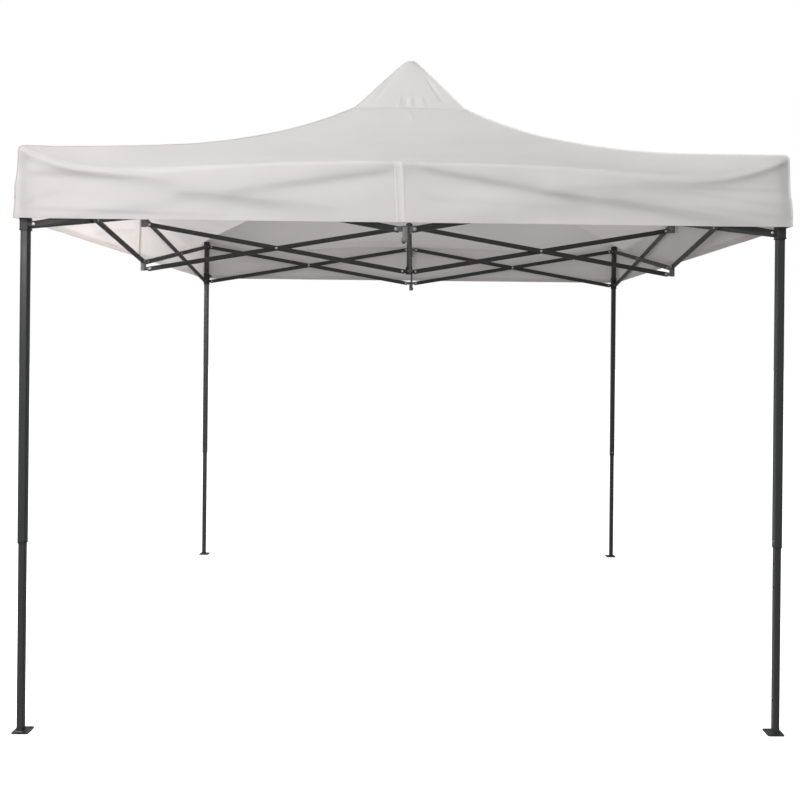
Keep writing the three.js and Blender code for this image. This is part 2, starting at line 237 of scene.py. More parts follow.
def polyester(name, pale, shade, through, share):
    """Coated polyester weave that lets a share of the light through."""
    paint = Paint(name, pale, 0.62)
    paint.set("Specular IOR Level", 0.32)
    paint.set("Sheen Weight", 0.12)
    paint.set("Sheen Roughness", 0.45)
    clouds = paint.noise(3.0, 5.0)
    paint.color(clouds, (0.30, shade), (0.70, pale))
    paint.roughness(paint.noise(22.0, 4.0), 0.52, 0.70)
    cloth = weave(paint, THREAD)
    crumple = paint.noise(38.0, 4.0)
    normal = paint.bump(paint.math("ADD", paint.times(cloth, 0.18), crumple), 0.35, 0.0012)
    paint.let_through(through, share, normal)
    return paint.material


def stitched_tape(cloth, thread):
    """Seam tape: UV y is 0 to 1 across it, with a row of stitches near each edge."""
    paint = Paint("seam_tape", cloth, 0.6)
    paint.set("Specular IOR Level", 0.3)
    split = paint.node("ShaderNodeSeparateXYZ", paint.coords.outputs["UV"])
    along, across = split.outputs[0], split.outputs[1]
    from_edge = paint.math("ABSOLUTE", paint.math("SUBTRACT", across, 0.5))
    row = paint.math("LESS_THAN", paint.math("ABSOLUTE", paint.math("SUBTRACT", from_edge, 0.36)), 0.03)
    dash = paint.math("LESS_THAN", paint.math("FRACT", paint.times(along, STITCHES)), 0.72)
    stitch = paint.times(row, dash)
    paint.color(stitch, (0.0, cloth), (1.0, thread))
    ribs = paint.math("SINE", paint.times(along, 2 * math.pi / TAPE_RIB))
    normal = paint.bump(paint.math("ADD", paint.times(ribs, 0.15), stitch), 0.6, 0.0006)
    paint.let_through((0.95, 0.92, 0.90), 0.42, normal)
    return paint.material


THREAD, TAPE_RIB, STITCHES = 0.0016, 0.0012, 250.0  # spacings, and stitches in a metre
WHITE, SHADED = (0.80, 0.80, 0.80), (0.74, 0.745, 0.75)
STEEL = powder_coat(
    "powder_coat", (0.030, 0.032, 0.031), (0.060, 0.062, 0.060), (1, 1, 0.15), (0.36, 0.52)
)
LEG_STEEL = powder_coat(
    "leg_powder_coat", (0.030, 0.033, 0.032), (0.080, 0.083, 0.080), (1, 1, 0.05), (0.26, 0.38)
)
NYLON = nylon("black_nylon", (0.011, 0.0115, 0.0125), (0.026, 0.027, 0.029))
GREY_NYLON = nylon("grey_nylon", (0.13, 0.13, 0.132), (0.19, 0.19, 0.19))
ZINC = zinc()
FABRIC = polyester("white_polyester", WHITE, SHADED, (0.95, 0.90, 0.88), 0.41)
HEM_LINING = polyester("hem_polyester", WHITE, SHADED, (0.97, 0.94, 0.93), 0.75)
TAPE = stitched_tape((0.83, 0.83, 0.835), (0.88, 0.88, 0.87))

# ---------------------------------------------------------------- solids


def loft(rings, wrap=False):
    """Quads between rings of equal length, with a face over each end or joined end to end."""
    count = len(rings[0])
    points = [point for ring in rings for point in ring]
    faces = []
    for i in range(len(rings) if wrap else len(rings) - 1):
        a, b = i * count, (i + 1) % len(rings) * count
        for j in range(count):
            k = (j + 1) % count
            faces.append((a + j, a + k, b + k, b + j))
    if not wrap:
        last = (len(rings) - 1) * count
        faces.append(tuple(reversed(range(count))))
        faces.append(tuple(range(last, last + count)))
    return points, faces


def rounded(width, depth, radius, z, inset=0.0, steps=4):
    """A level ring: a rectangle with round corners."""
    w, d, r = width / 2 - inset, depth / 2 - inset, max(radius - inset, 0.0002)
    ring = []
    for quarter, (sx, sy) in enumerate(((1, 1), (-1, 1), (-1, -1), (1, -1))):
        for step in range(steps + 1):
            a = (quarter + step / steps) * math.pi / 2
            ring.append((sx * (w - r) + r * math.cos(a), sy * (d - r) + r * math.sin(a), z))
    return ring


def square_rings(width, radius, stations, steps=4):
    """Level square rings at (height, inset) stations."""
    return [rounded(width, width, radius, z, inset, steps) for z, inset in stations]


def bevelled(z0, z1, bevel):
    """The (height, inset) stations of a solid with its end edges bevelled."""
    return (z0, bevel), (z0 + bevel, 0), (z1 - bevel, 0), (z1, bevel)


def block(width, depth, z0, z1, radius, bevel):
    return loft([rounded(width, depth, radius, z, inset) for z, inset in bevelled(z0, z1, bevel)])


def box_tube(width, depth, wall, z0, z1, radius):
    """A rectangular tube, open at both ends."""
    rings = [rounded(width, depth, radius, z, inset) for z, inset in bevelled(z0, z1, wall / 3)]
    rings += [rounded(width, depth, radius, z, wall) for z in (z1, z0)]
    return loft(rings, wrap=True)


def turned(profile, sides=20, wrap=False):
    """A solid turned about Z from (radius, height) points."""
    angles = [2 * math.pi * i / sides for i in range(sides)]
    rings = [[(r * math.cos(a), r * math.sin(a), z) for a in angles] for r, z in profile]
    return loft(rings, wrap=wrap)


def round_tube(radius, wall, z0, z1):
    inner = radius - wall
    return turned(((radius, z0), (radius, z1), (inner, z1), (inner, z0)), 24, wrap=True)


def tongue(root, reach, radius, thickness):
    """A flat ear in XY, from x = root to a round end about (reach, 0)."""
    arc = [math.pi * (step / 12 - 0.5) for step in range(13)]

    def ring(z, inset):
        r = radius - inset
        middle = [(reach + r * math.cos(a), r * math.sin(a), z) for a in arc]
        return [(root, -r, z), *middle, (root, r, z)]

    half = thickness / 2
    return loft([ring(z, inset) for z, inset in bevelled(-half, half, 0.0006)])


def plate(outline, holes, z0, z1):
    """A flat plate with an outline and round holes (x, y, radius)."""
    loops = [[Vector((x, y, 0)) for x, y in outline]]
    for x, y, r in holes:
        angles = [2 * math.pi * i / 20 for i in range(20)]
        loops.append([Vector((x + r * math.cos(a), y + r * math.sin(a), 0)) for a in angles])
    flat = [p for loop in loops for p in loop]
    count = len(flat)
    points = [(p.x, p.y, z) for z in (z0, z1) for p in flat]
    triangles = tessellate_polygon(loops)
    faces = [tuple(t) for t in triangles] + [tuple(count + i for i in t) for t in triangles]
    start = 0
    for loop in loops:
        size = len(loop)
        for i in range(size):
            a, b = start + i, start + (i + 1) % size
            faces.append((a, b, count + b, count + a))
        start += size
    return points, faces


class Form:
    """A mesh being put together from parts, each with its own material."""

    def __init__(self):
        self.points, self.faces, self.slots, self.materials = [], [], [], []

    def add(self, part, material, place=None):
        points, faces = part
        place = place or Matrix()
        base = len(self.points)
        self.points += [place @ Vector(p) for p in points]
        self.faces += [[base + i for i in face] for face in faces]
        if material not in self.materials:
            self.materials.append(material)
        self.slots += [self.materials.index(material)] * len(faces)
        return self

    def mesh(self, name):
        mesh = bpy.data.meshes.new(name)
        mesh.from_pydata(self.points, [], self.faces)
        for material in self.materials:
            mesh.materials.append(material)
        mesh.polygons.foreach_set("material_index", self.slots)
        work = bmesh.new()
        work.from_mesh(mesh)
        bmesh.ops.recalc_face_normals(work, faces=work.faces)
        work.to_mesh(mesh)
        work.free()
        mesh.shade_smooth()
        mesh.set_sharp_from_angle(angle=math.radians(32))
        return mesh


def drilled(part, drill, places):
    """A closed part with the drill part taken out of it at each place."""
    body = bpy.data.objects.new("drilled_body", Form().add(part, NYLON).mesh("drilled_body"))
    tools = Form()
    for place in places:
        tools.add(drill, NYLON, place)
    tool = bpy.data.objects.new("drill", tools.mesh("drill"))
    for item in (body, tool):
        bpy.context.scene.collection.objects.link(item)
    modifier = body.modifiers.new("holes", "BOOLEAN")
    modifier.operation, modifier.object, modifier.solver = "DIFFERENCE", tool, "EXACT"
    graph = bpy.context.evaluated_depsgraph_get()
    result = body.evaluated_get(graph).to_mesh()
    points = [tuple(v.co) for v in result.vertices]
    faces = [tuple(f.vertices) for f in result.polygons]
    for item in (body, tool):
        bpy.data.objects.remove(item)
    return points, faces


def piece(name, mesh, place, body, replaces=()):
    """An object in the scene that rides on a body and stands for its CAD nodes."""
    made = bpy.data.objects.new(name, mesh)
    bpy.context.scene.collection.objects.link(made)
    made.matrix_world = place
    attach(made, body)
    if replaces:
        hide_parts(*replaces)
    return made


ALONG_X = turn(90, "Y")  # local Z to X
ALONG_Y = turn(-90, "X")  # local Z to Y
FLAT_EAR = turn(90, "X")  # local XY to XZ

# ---------------------------------------------------------------- scissor bars


def dome(radius, height):
    """A round head that stands on z = 0."""
    steps = ((1.0, 0.0), (1.0, 0.35), (0.88, 0.66), (0.62, 0.90), (0.28, 1.0))
    return turned([(radius * r, height * h) for r, h in steps])


def headed_pin(form, y0, y1, place, radius):
    """A rivet along Y from y0 to y1, with a washer and a domed head at each end."""
    form.add(turned(((0.003, y0), (0.003, y1)), 14), ZINC, place @ ALONG_Y)
    for y, flip in ((y1, 0), (y0, 180)):
        end = place @ at(0, y, 0) @ ALONG_Y @ turn(flip, "X")
        form.add(turned(((radius + 0.0012, 0), (radius + 0.0012, 0.0006), (radius, 0.0008))), ZINC, end)
        form.add(dome(radius, 0.0026), ZINC, end @ at(0, 0, 0.0006))


def bar(riveted):
    """A bar along X. The riveted one also holds the scissor's rivet, on its +Y side."""
    form = Form()
    form.add(box_tube(BAR_HIGH, BAR_THICK, BAR_WALL, -BAR_HALF, BAR_HALF, 0.0024), STEEL, ALONG_X)
    for side in (-1, 1):
        plug = block(BAR_HIGH - 0.0022, BAR_THICK - 0.0022, -0.012, 0.0002, 0.0012, 0.0003)
        rim = block(BAR_HIGH - 0.0004, BAR_THICK - 0.0004, 0.0, 0.0016, 0.0022, 0.0007)
        end = at(side * BAR_HALF, 0, 0) @ turn(90 * side, "Y")
        form.add(plug, NYLON, end).add(rim, NYLON, end)
    if riveted:
        far = BAR_THICK * 1.5 + BAR_GAP + 0.0003
        headed_pin(form, -BAR_THICK / 2, far, Matrix(), 0.0052)
        spacer = turned(((0.0065, 0), (0.0065, BAR_GAP - 0.0001)), 18)
        form.add(spacer, NYLON, at(0, BAR_THICK / 2, 0) @ ALONG_Y)
    return form.mesh("riveted_bar" if riveted else "plain_bar")


BARS = {"falling": bar(True), "rising": bar(False)}


def place_scissor(name, start, flip):
    """The two bars of a scissor that leaves start along its local +X.

    The falling bar lies on the -Y side where flip is 1, and on the +Y side where it is -1.
    """
    mid = start @ at(REACH / 2, 0, -PIVOT_RISE / 2)
    falling = turn(BAR_TILT, "Y") if flip > 0 else turn(180) @ turn(-BAR_TILT, "Y")
    places = (
        ("falling", mid @ at(0, -flip * BAR_SHIFT, 0) @ falling),
        ("rising", mid @ at(0, flip * BAR_SHIFT, 0) @ turn(-BAR_TILT, "Y")),
    )
    for kind, place in places:
        node = f"{name}_{kind}"
        piece(f"bar_{node}", BARS[kind], place, node, [node])


# ---------------------------------------------------------------- brackets and hubs


def clevis(form, yaw, shift, height=0.0, root=EAR_ROOT, material=NYLON):
    """Two ears with a rivet through them. A bar leaves between them along yaw, shift to its left."""
    base = at(0, 0, height) @ turn(yaw)
    for side in (-1, 1):
        ear = base @ at(0, shift + side * EAR_SHIFT, 0) @ FLAT_EAR
        form.add(tongue(root, PIVOT_OFFSET, EAR_RADIUS, EAR), material, ear)
        form.add(tongue(root, PIVOT_OFFSET - 0.011, 0.0036, EAR + 0.0014), material, ear)
    outer = EAR_SHIFT + EAR / 2
    headed_pin(form, shift - outer, shift + outer, base @ at(PIVOT_OFFSET, 0, 0), 0.0048)


def middle_bracket(outwards):
    """Bars along both halves of the eave, and one to the centre, INNER_DROP lower."""
    form = Form()
    low, high = -INNER_DROP - EAR_RADIUS - 0.002, EAR_RADIUS + 0.002
    wide, deep = 0.022, 0.026
    form.add(block(wide, deep, low, high, 0.005, 0.0015), GREY_NYLON)
    for z in (low + 0.004, -0.020, high - 0.004):
        rib = block(wide + 0.0016, deep + 0.0016, z - 0.001, z + 0.001, 0.0055, 0.0004)
        form.add(rib, GREY_NYLON)
    for yaw, shift, height in ((0, -1, 0), (180, 1, 0), (90, -1, -INNER_DROP)):
        clevis(form, yaw, shift * outwards * BAR_SHIFT, height, wide / 2 - 0.002, GREY_NYLON)
    return form.mesh("middle_bracket")


def hub(upper):
    """A hub bored for the centre tube. The lower one holds the tube's end."""
    form = Form()
    top = COLLAR if upper else COLLAR + 0.004
    bore = TUBE_RADIUS + (0.001 if upper else 0.0004)
    core = square_rings(BRACKET, 0.006, bevelled(-COLLAR, top, 0.001), 5)
    hole = turned(((bore, -0.06 if upper else 0.0), (bore, 0.06)), 28)
    form.add(drilled(loft(core), hole, [Matrix()]), NYLON)
    collar = ((0.0175, -0.001), (0.0175, 0.005), (0.0165, 0.006), (bore, 0.006), (bore, -0.001))
    form.add(turned(collar, 28, wrap=True), NYLON, at(0, 0, top))
    if upper:
        form.add(turned(collar, 28, wrap=True), NYLON, at(0, 0, -COLLAR) @ turn(180, "X"))
    for quarter in range(4):
        clevis(form, 90 * quarter, -BAR_SHIFT if upper else BAR_SHIFT)
        web = block(0.004, 0.004, -COLLAR + 0.002, top - 0.002, 0.0012, 0.0005)
        form.add(web, NYLON, turn(90 * quarter + 45) @ at(0.0235, 0, 0))
    return form.mesh("hub")


def peak_cap():
    """The mushroom cap of the peak pole. Its top is at z = 0."""
    profile = [(POLE_RADIUS, -CAP_RISE - 0.030), (0.015, -CAP_RISE - 0.030), (0.015, -CAP_RISE - 0.010)]
    profile += [(CAP_RADIUS - 0.005, -CAP_RISE - 0.004), (CAP_RADIUS - 0.001, -CAP_RISE - 0.003)]
    for step in range(9):
        a = math.pi / 2 * (1 - step / 9)
        profile.append((CAP_RADIUS * math.sin(a), CAP_RISE * (math.cos(a) - 1)))
    return turned(profile, 36)


def build_centre():
    upper, lower = UPPER_PIVOT - INNER_DROP, LOWER_PIVOT - INNER_DROP
    piece("hub_upper", hub(True), at(0, 0, upper), "upper_hub", ["upper_hub"])
    piece("hub_lower", hub(False), at(0, 0, lower), "lower_hub", ["lower_hub"])
    tube = Form().add(round_tube(TUBE_RADIUS, TUBE_WALL, 0, TUBE_LENGTH), STEEL)
    snug = POLE_RADIUS + 0.0003
    guide = ((snug, -0.006), (snug, 0.004), (TUBE_RADIUS + 0.001, 0.004))
    guide += ((TUBE_RADIUS + 0.002, 0.002), (TUBE_RADIUS + 0.002, -0.012), (TUBE_RADIUS - 0.0002, -0.012))
    tube.add(turned(guide, 28, wrap=True), NYLON, at(0, 0, TUBE_LENGTH))
    low = at(0, 0, TUBE_BOTTOM)
    piece("mast_tube", tube.mesh("mast_tube"), low, "lower_hub", ["centre_tube"])
    pole = Form().add(round_tube(POLE_RADIUS, POLE_WALL, -POLE_LENGTH, -CAP_RISE - 0.008), STEEL)
    pole.add(peak_cap(), NYLON)
    high = at(0, 0, CAP_TOP)
    piece("mast_pole", pole.mesh("mast_pole"), high, "peak_pole", ["peak_pole"])


# ---------------------------------------------------------------- legs


def outer_leg():
    """Built about the leg's axis, with z from the ground."""
    form = Form()
    tube = box_tube(LEG, LEG, LEG_WALL, LEG_BOTTOM + 0.004, LEG_TOP - 0.006, 0.0035)
    hole = turned(((BUTTON_RADIUS + 0.0004, 0.008), (BUTTON_RADIUS + 0.0004, 0.020)))
    tube = drilled(tube, hole, [at(0, 0, BUTTON_Z) @ ALONG_Y])
    hole = turned(((0.0030, 0.008), (0.0030, 0.020)), 16)
    tube = drilled(tube, hole, [at(LATCH_SHIFT, 0, LOWER_PIVOT + LATCH_RISE) @ ALONG_Y])
    form.add(tube, LEG_STEEL)
    outside = ((0.0, 0.0006), (0.0008, 0.0), (0.006, 0.0), (0.0062, LEG_WALL), (0.020, LEG_WALL))
    bush = square_rings(LEG, 0.0035, outside)
    bush += square_rings(INNER_LEG + 0.0006, 0.0026, ((0.020, 0), (0.0, 0)))
    form.add(loft(bush, wrap=True), NYLON, at(0, 0, LEG_BOTTOM))
    low, high = UPPER_PIVOT - COLLAR, LEG_TOP - 0.001
    form.add(block(BRACKET, BRACKET, low, high, 0.0045, 0.002), NYLON)
    for z in (low + 0.0015, UPPER_PIVOT + 0.018, high - 0.006):
        form.add(block(BRACKET + 0.0016, BRACKET + 0.0016, z - 0.0012, z + 0.0012, 0.005, 0.0005), NYLON)
    for yaw, shift in ((0, BAR_SHIFT), (90, -BAR_SHIFT)):
        clevis(form, yaw, shift, UPPER_PIVOT)
    bolt = dome(0.0042, 0.0022)
    for yaw in (180, -90):
        form.add(bolt, ZINC, turn(yaw) @ at(BRACKET / 2, 0, UPPER_PIVOT + 0.008) @ ALONG_X)
    return form.mesh("outer_leg")


def inner_leg():
    form = Form()
    radius = BUTTON_RADIUS + 0.0008
    heights = (BUTTON_Z, BUTTON_Z - 0.090, BUTTON_Z - 0.180, BUTTON_Z - LEG_TRAVEL)
    hole = turned(((radius, 0.006), (radius, 0.020)))
    tube = box_tube(INNER_LEG, INNER_LEG, LEG_WALL, FOOT_THICK - 0.001, INNER_LEG_TOP, 0.003)
    form.add(drilled(tube, hole, [at(0, 0, z) @ ALONG_Y for z in heights]), LEG_STEEL)
    fillet = ((0.007, 0.0), (0.005, 0.0016), (0.0, 0.0035))
    weld = [rounded(INNER_LEG + grow, INNER_LEG + grow, 0.004, z) for grow, z in fillet]
    form.add(loft(weld), LEG_STEEL, at(0, 0, FOOT_THICK - 0.0004))
    outline = [(FOOT_SHIFT + x, FOOT_SHIFT + y) for x, y, _ in rounded(FOOT, FOOT, 0.009, 0)]
    pegs = [(PEG_REACH, PEG_REACH, PEG_HOLE), (PEG_REACH, -0.018, 0.0032), (-0.018, PEG_REACH, 0.0032)]
    form.add(plate(outline, pegs, 0, FOOT_THICK), LEG_STEEL)
    return form.mesh("inner_leg")


def slider():
    """The sleeve on the outer leg. z = 0 is at its pivots."""
    form = Form()
    sleeve = square_rings(BRACKET, 0.0045, bevelled(-SLIDER_BELOW, SLIDER_ABOVE, 0.0008))
    sleeve += square_rings(SLIDER_BORE, 0.0036, ((SLIDER_ABOVE, 0), (-SLIDER_BELOW, 0)))
    form.add(loft(sleeve, wrap=True), NYLON)
    for z in (-SLIDER_BELOW + 0.0022, 0.019, SLIDER_ABOVE - 0.0022):
        band = square_rings(BRACKET + 0.003, 0.006, bevelled(z - 0.002, z + 0.002, 0.0006))
        band += square_rings(BRACKET - 0.001, 0.004, ((z + 0.002, 0), (z - 0.002, 0)))
        form.add(loft(band, wrap=True), NYLON)
    for yaw, shift in ((0, -BAR_SHIFT), (90, BAR_SHIFT)):
        clevis(form, yaw, shift)
    boss = ((0.0035, -0.001), (0.0082, -0.001), (0.0078, 0.005), (0.0068, 0.007), (0.0035, 0.007))
    form.add(turned(boss, 24, wrap=True), NYLON, at(LATCH_SHIFT, BRACKET / 2, LATCH_RISE) @ ALONG_Y)
    return form.mesh("slider")


def latch():
    """The pin and pull knob of the slider's latch."""
    form = Form()
    start, end = LEG / 2 + 0.0004, LATCH_FACE + 0.004
    form.add(turned(((0.0018, start), (0.0025, start + 0.001), (0.0025, end)), 16), ZINC, ALONG_Y)
    knob = ((0.0046, 0.0), (0.0052, 0.0006), (0.0046, 0.0030), (0.0048, 0.0045), (0.0062, 0.0060))
    knob += ((0.0064, 0.0090), (0.0058, 0.0104), (0.0040, 0.0110))
    form.add(turned(knob, 24), NYLON, at(0, LATCH_FACE + 0.0004, 0) @ ALONG_Y)
    for i in range(12):
        ridge = block(0.0009, 0.0014, 0.0058, 0.0096, 0.0004, 0.0002)
        form.add(ridge, NYLON, at(0, LATCH_FACE + 0.0004, 0) @ ALONG_Y @ turn(30 * i) @ at(0.0062, 0, 0))
    return form.mesh("latch")


def button():
    start, end = INNER_LEG / 2 + 0.0004, LEG / 2 + 0.004
    wide, narrow = BUTTON_RADIUS, 0.0036
    profile = ((narrow, start), (wide, start + 0.0004), (wide, end - 0.0018), (narrow, end - 0.0007))
    return Form().add(turned((*profile, (0.0022, end))), ZINC, ALONG_Y).mesh("leg_button")


CORNER_PIECES = (
    ("outer_leg", outer_leg(), (0, 0, 0), "black_steel"),
    ("inner_leg", inner_leg(), (0, 0, 0), "black_steel"),
    ("slider", slider(), (0, 0, LOWER_PIVOT), "black_plastic"),
    ("slider_latch", latch(), (LATCH_SHIFT, 0, LOWER_PIVOT + LATCH_RISE), "black_plastic"),
    ("leg_button", button(), (0, 0, BUTTON_Z), "bright_steel"),
)
MIDDLE_BRACKETS = {"upper": middle_bracket(1), "lower": middle_bracket(-1)}


def build_side(quarter, name, left, right):
    """A side of the frame with the leg at its left end, as seen from outside."""
    round_z = turn(90 * quarter)
    for level, height in (("upper", UPPER_PIVOT), ("lower", LOWER_PIVOT)):
        place = round_z @ at(0, -HALF_SPAN, height)
        node = f"middle_bracket_{level}_{name}"
        body = f"middle_{level}_{name}"
        piece(f"bracket_{level}_{name}", MIDDLE_BRACKETS[level], place, body, [node])
    starts = (
        (f"eave_bar_{name}_{left}", at(-PIVOT_OFFSET, -HALF_SPAN, UPPER_PIVOT) @ turn(180), -1),
        (f"eave_bar_{name}_{right}", at(PIVOT_OFFSET, -HALF_SPAN, UPPER_PIVOT), 1),
        (f"inner_bar_{name}", at(0, -PIVOT_OFFSET, UPPER_PIVOT - INNER_DROP) @ turn(-90), 1),
    )
    for scissor, start, flip in starts:
        place_scissor(scissor, round_z @ start, flip)
    for kind, mesh, spot, slot in CORNER_PIECES:
        node = f"{kind}_{left}"
        place = round_z @ at(-HALF_SPAN, -HALF_SPAN, 0) @ at(*spot)
        piece(f"{kind}_{left}.looks", mesh, place, node, [node])


# ---------------------------------------------------------------- fabric


def sag_shape(s):
    """0 at the middle and the corners of a side, and 1 where the eave hangs lowest between them."""
    return np.clip(np.sin(math.pi * np.abs(s) ** 2.4), 0, 1) ** 1.2


def roof_height(r, s):
    """Height of the roof, r from the centre and s from -1 to 1 between the hips."""
    u = (1 - r / EAVE) / (1 - HOOD_HALF / EAVE)
    hip = CORNER_Z + (HOOD_Z - CORNER_Z) * (0.55 * u + 0.45 * u**3)
    dip = EAVE_DIP * (1 - u) * (1 - np.abs(s) ** (9 - 7 * u))
    return hip - dip - EAVE_SAG * (1 - u) ** 4 * sag_shape(s)


def smooth(x, low, high):
    t = np.clip((x - low) / (high - low), 0, 1)
    return t * t * (3 - 2 * t)


def fold_ridge(u, v, start, end, width, height, bend):
    """A soft fold from start to end on a sheet: a ridge with its steep side along that line.

    It begins narrow and runs out wider, and its middle is bend off the straight line.
    """
    (u0, v0), (u1, v1) = start, end
    du, dv = u1 - u0, v1 - v0
    length = math.hypot(du, dv)
    t = ((u - u0) * du + (v - v0) * dv) / length**2
    away = ((v - v0) * du - (u - u0) * dv) / length * np.sign(du) - bend * 4 * t * (1 - t)
    window = smooth(t, -0.04, 0.10) * (1 - smooth(t, 0.62, 1.04))
    x = away / (width * (1 + 0.5 * np.clip(t, 0, 1))) - 0.7
    return height * window * np.exp(-(np.where(x > 0, x / 2.8, x) ** 2))


# Folds of the front valance: start and end as (x, z), width, height, bend.
FRONT_VALANCE = (
    ((-1.465, 2.226), (-1.10, 2.158), 0.014, 0.0063, 0.0),
    ((-1.470, 2.140), (-0.78, 2.090), 0.015, 0.0063, 0.022),
    ((-0.90, 2.074), (-0.40, 2.012), 0.014, 0.0055, 0.012),
    ((-0.04, 2.172), (-0.70, 2.078), 0.016, 0.0048, 0.0),
    ((-1.465, 2.010), (-0.60, 1.986), 0.010, 0.0034, 0.0),
    ((-1.462, 2.026), (-1.30, 2.085), 0.010, 0.0028, 0.0),
    ((-0.58, 2.050), (-0.12, 2.004), 0.012, 0.0025, 0.0),
    ((0.025, 2.188), (0.80, 2.050), 0.014, 0.0065, 0.0),
    ((0.50, 2.096), (1.44, 1.968), 0.015, 0.0072, 0.006),
    ((1.465, 2.226), (1.00, 2.142), 0.014, 0.0067, 0.0),
    ((1.07, 2.150), (0.50, 2.104), 0.018, 0.0057, -0.012),
    ((1.468, 2.050), (0.88, 2.128), 0.012, 0.0036, 0.0),
    ((1.468, 2.110), (0.86, 2.126), 0.010, 0.0034, 0.0),
    ((1.468, 2.006), (1.05, 2.056), 0.010, 0.0028, 0.0),
    ((0.05, 2.070), (0.70, 2.026), 0.014, 0.0025, 0.0),
)
# Folds of the front roof: start and end as (x, distance from the centre), width, height, bend.
FRONT_ROOF = (
    ((0.04, 1.455), (0.42, 1.21), 0.012, 0.0065, 0.0),
    ((-0.05, 1.46), (-0.60, 1.20), 0.024, 0.0034, 0.0),
    ((0.00, 0.31), (0.03, 0.42), 0.008, 0.0030, 0.0),
    ((0.764, 1.475), (0.76, 1.40), 0.006, 0.0040, 0.0),
    ((0.46, 1.30), (0.45, 1.20), 0.008, 0.0026, 0.0),
)


def random_folds(seed, low, high):
    """Folds that leave the corners and the middle of a sheet, low..high along its second axis."""
    dice = random.Random(seed)
    made = []
    for origin in (-1.46, -1.46, -1.46, 0.0, 0.0, 1.46, 1.46, 1.46):
        toward = -np.sign(origin) or dice.choice((-1, 1))
        start = (origin + 0.02 * toward, dice.uniform(low, high))
        end = (origin + toward * dice.uniform(0.45, 1.3), dice.uniform(low, high))
        shape = [dice.uniform(*span) for span in ((0.012, 0.020), (0.003, 0.007), (-0.02, 0.02))]
        made.append((start, end, *shape))
    return made


def side_folds(quarter):
    if quarter == 0:
        return FRONT_VALANCE, FRONT_ROOF
    return random_folds(40 + quarter, 1.98, 2.21), random_folds(60 + quarter, 0.45, 1.45)


def ripple(points, size, seed):
    """Smooth noise of about -1..1 with that wavelength."""
    return np.array([noise.noise(Vector(p) / size + Vector((seed, -seed, seed))) for p in points])


def turned_points(points, quarter):
    """Points of the front side in the row frame of that quarter."""
    c, s = round(math.cos(quarter * math.pi / 2)), round(math.sin(quarter * math.pi / 2))
    x, y, z = points[..., 0], points[..., 1], points[..., 2]
    return np.stack([c * x - s * y, s * x + c * y, z], -1)


COLUMNS = 168
# The fabric from the hood seam over the eave to the hem: (kind, amount) for each row.
ROWS = [("roof", i / 60) for i in range(60)] + [("edge", i / 8) for i in range(9)]
ROWS += [("drop", i / 36) for i in range(1, 37)]
SEAM_ROW = 64  # the row in the middle of the rounded eave


def base_sheet():
    """The smooth sheet of the front side: points, and the outward direction folds move them in."""
    s = np.linspace(-1, 1, COLUMNS + 1)
    eave = roof_height(EAVE, s)
    rounding = EAVE_ROUND + SAG_ROUND * sag_shape(s)
    inner = roof_height(EAVE - rounding, s)
    points, lifts = [], []
    for kind, amount in ROWS:
        if kind == "roof":
            r = HOOD_HALF + (EAVE - rounding - HOOD_HALF) * amount
            z, lean = roof_height(r, s), 0.0
        elif kind == "edge":
            a, b, c = (1 - amount) ** 2, 2 * amount * (1 - amount), amount**2
            r = a * (EAVE - rounding) + (b + c) * EAVE
            z = a * inner + b * eave + c * (eave - rounding)
            lean = float(smooth(amount, 0, 1))
        else:
            top = eave - rounding
            r, z, lean = EAVE + HEM_FLARE * amount + 0 * s, top + (HEM_Z - top) * amount, 1.0
        points.append(np.stack([s * r, -r, z], -1))
        diagonal = smooth(np.abs(s), 0.955, 1.0) * np.sign(s)
        lifts.append(np.stack([lean * diagonal, np.full_like(s, -lean), np.full_like(s, 1 - lean)], -1))
    return np.array(points), np.array(lifts)


ROOF_WAVE, ROOF_CRUMPLE = 0.0045, 0.0010
VALANCE_WAVE, VALANCE_CRUMPLE, CORNER_WAVE = 0.0050, 0.0012, 0.0035
LIP_REACH, LIP_WIDTH = 0.009, 0.018  # the soft lip of the roof's edge over the valance
AT_BARS, AT_BRACKETS, HELD_SOFTLY = -0.0040, 0.0010, 0.0015  # how far in the valance can go


